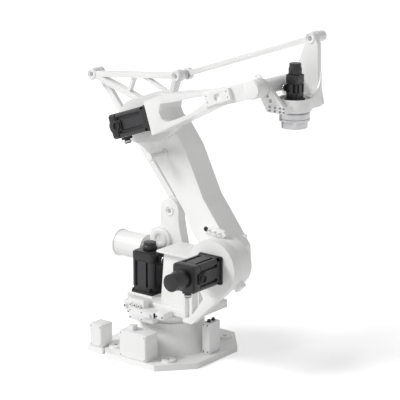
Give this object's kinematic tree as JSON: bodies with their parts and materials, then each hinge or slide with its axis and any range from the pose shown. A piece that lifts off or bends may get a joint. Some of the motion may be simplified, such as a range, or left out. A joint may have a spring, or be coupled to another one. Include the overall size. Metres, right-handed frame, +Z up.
{
  "type": "articulated palletising robot",
  "caption": "Floor-standing articulated palletising robot with a leaning lower arm, an upper arm on an elbow, parallel rods that hold the wrist level, servomotors and a round tool flange.",
  "frame": {"origin": "on the floor, where the axis of the turning column meets the underside of the base plate", "axes": "+Z up, +X the way the arm reaches, +Y towards the parallelogram rods; the arm's motors point towards -Y"},
  "size_m": [1.8725, 1.061, 2.1455],
  "materials": {
    "painted_iron": "satin white paint on cast iron",
    "painted_aluminium": "satin white paint on cast aluminium",
    "box_paint": "white powder coat",
    "motor_black": "black enamel",
    "motor_plug": "black moulded plastic",
    "machined_steel": "machined and oiled"
  },
  "bodies": {
    "base": {"base_casting": "painted_iron", "slew_ring": "machined_steel", "junction_box_front": "box_paint", "junction_box_rear": "box_paint", "cable_outlet_box": "box_paint"},
    "turret": {"slew_ring_turning": "machined_steel", "turret_deck": "painted_iron", "turret_column": "painted_iron", "drive_cheek": "painted_iron", "link_post": "painted_iron", "shoulder_gear": "machined_steel", "shoulder_shaft": "machined_steel", "motor_1_body": "motor_black", "motor_1_cap": "motor_black", "motor_1_plug": "motor_plug", "motor_2_body": "motor_black", "motor_2_cap": "motor_black", "motor_2_plug": "motor_plug", "foot_pin": "machined_steel", "balance_can": "painted_aluminium", "balance_neck": "painted_aluminium", "cable_block_front": "box_paint", "cable_block_rear": "box_paint"},
    "lower_arm_body": {"lower_arm": "painted_aluminium", "elbow_shaft": "machined_steel", "elbow_stop": "machined_steel", "hose_bracket": "box_paint"},
    "rocker": {"rocker_frame": "painted_aluminium", "rocker_pin_rear": "machined_steel", "rocker_pin_front": "machined_steel"},
    "upper_arm_body": {"upper_arm": "painted_aluminium", "wrist_pin": "machined_steel", "motor_3_body": "motor_black", "motor_3_cap": "motor_black", "motor_3_plug": "motor_plug"},
    "rear_link": {"rear_rod": "painted_aluminium"},
    "top_link": {"top_rod": "painted_aluminium"},
    "wrist": {"wrist_casting": "painted_aluminium", "wrist_side_plate": "painted_aluminium", "crown_pin": "machined_steel", "motor_4_body": "motor_black", "motor_4_cap": "motor_black", "motor_4_plug": "motor_plug", "tool_gear": "machined_steel"},
    "tool": {"tool_flange": "machined_steel"}
  },
  "joints": [
    {"name": "j1_column_turn", "type": "hinge", "parent": "base", "child": "turret", "pos_m": [0, 0, 0.3], "axis": [0, 0, 1], "range_deg": [-180, 180]},
    {"name": "j2_shoulder", "type": "hinge", "parent": "turret", "child": "lower_arm_body", "pos_m": [0.53, 0, 0.7], "axis": [0, 1, 0], "range_deg": [-2, 80]},
    {"name": "rocker_pivot", "type": "hinge", "parent": "lower_arm_body", "child": "rocker", "pos_m": [-0.14852, 0, 1.51438], "axis": [0, 1, 0], "range_deg": [-80, 2]},
    {"name": "j3_elbow", "type": "hinge", "parent": "rocker", "child": "upper_arm_body", "pos_m": [-0.14852, 0, 1.51438], "axis": [0, -1, 0], "range_deg": [-19, 32]},
    {"name": "rear_rod_pivot", "type": "hinge", "parent": "turret", "child": "rear_link", "pos_m": [-0.089, 0, 0.89], "axis": [0, 1, 0], "range_deg": [-2, 80]},
    {"name": "top_rod_pivot", "type": "hinge", "parent": "rocker", "child": "top_link", "pos_m": [-0.05352, 0, 1.77238], "axis": [0, -1, 0], "range_deg": [-19, 32]},
    {"name": "wrist_pivot", "type": "hinge", "parent": "upper_arm_body", "child": "wrist", "pos_m": [0.836, 0, 1.84954], "axis": [0, -1, 0], "range_deg": [-32, 19]},
    {"name": "j4_tool_turn", "type": "hinge", "parent": "wrist", "child": "tool", "pos_m": [0.961, 0, 1.62], "axis": [0, 0, 1], "range_deg": [-360, 360]}
  ],
  "couplings": [
    {"joint": "rocker_pivot", "follows": "j2_shoulder", "ratio": -1},
    {"joint": "rear_rod_pivot", "follows": "j2_shoulder", "ratio": 1},
    {"joint": "top_rod_pivot", "follows": "j3_elbow", "ratio": 1},
    {"joint": "wrist_pivot", "follows": "j3_elbow", "ratio": -1}
  ]
}
